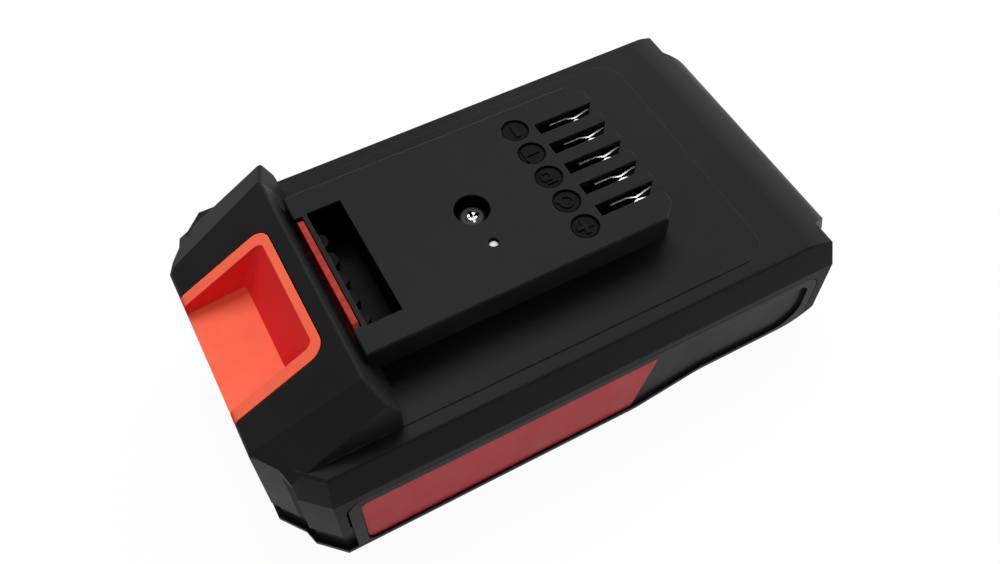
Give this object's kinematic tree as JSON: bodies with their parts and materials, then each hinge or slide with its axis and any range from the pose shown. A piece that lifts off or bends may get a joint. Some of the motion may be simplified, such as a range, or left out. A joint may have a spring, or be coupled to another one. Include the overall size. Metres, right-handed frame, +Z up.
{
  "type": "power tool battery pack",
  "caption": "Slide-on battery pack with a rail block, open contact slots, a window for the tool's catch, and a spring-returned release button with a latch bar.",
  "frame": {"origin": "middle of the bounding box, on the surface that the pack stands on", "axes": "+X from the release button to the end that enters the tool first, +Z up, out of the rail block, +Y to the left when seen along +X"},
  "size_m": [0.1374, 0.0764, 0.0475],
  "materials": {
    "housing_plastic": "fine moulded texture, black",
    "button_plastic": "fine moulded texture, red",
    "label_film": "printed film, satin, red",
    "inner_plastic": "moulded, off-white",
    "carrier_plastic": "glass-filled, dark",
    "spring_steel": "bright wire",
    "screw_steel": "zinc plated",
    "nickel": "nickel sheet",
    "contact_metal": "tin plated",
    "cell_sleeve": "shrink sleeve, blue",
    "board_laminate": "solder mask, green",
    "insulation_paper": "fish paper, grey-green",
    "clear_plastic": "frosted clear",
    "component_black": "moulded case",
    "component_white": "ceramic or diffuser",
    "capacitor_can": "drawn can",
    "lead_red": "silicone insulation",
    "lead_black": "silicone insulation",
    "lead_white": "insulated wire"
  },
  "bodies": {
    "pack": {"board_tray": "inner_plastic", "capacitors": "capacitor_can", "case_screws": "screw_steel", "cell_1": "cell_sleeve", "cell_2": "cell_sleeve", "cell_3": "cell_sleeve", "cell_4": "cell_sleeve", "cell_5": "cell_sleeve", "cell_holder_left": "inner_plastic", "cell_holder_right": "inner_plastic", "centre_screw": "screw_steel", "circuit_board": "board_laminate", "contact_carrier": "carrier_plastic", "controller_chip": "component_black", "fuse": "component_white", "insulation_left": "insulation_paper", "insulation_right": "insulation_paper", "latch_spring_left": "spring_steel", "latch_spring_right": "spring_steel", "latch_support": "inner_plastic", "light_pipe": "clear_plastic", "lower_housing": "housing_plastic", "nickel_strips_left": "nickel", "nickel_strips_right": "nickel", "power_lead_negative": "lead_black", "power_lead_positive": "lead_red", "power_transistors": "component_black", "sense_leads": "lead_white", "shunt_resistor": "component_black", "side_label_left": "label_film", "side_label_right": "label_film", "status_led": "component_white", "terminal_negative": "contact_metal", "terminal_positive": "contact_metal", "terminal_signal_1": "contact_metal", "terminal_signal_2": "contact_metal", "terminal_signal_3": "contact_metal", "thermistor": "component_black", "upper_housing": "housing_plastic"},
    "button": {"release_button": "button_plastic"}
  },
  "joints": [
    {"name": "button_press", "type": "slide", "parent": "pack", "child": "button", "axis": [0, 0, -1], "range_m": [0, 0.0045], "stiffness_N_per_m": 1800, "springref_m": -0.0033, "deforming": ["latch_spring_left", "latch_spring_right"]}
  ]
}
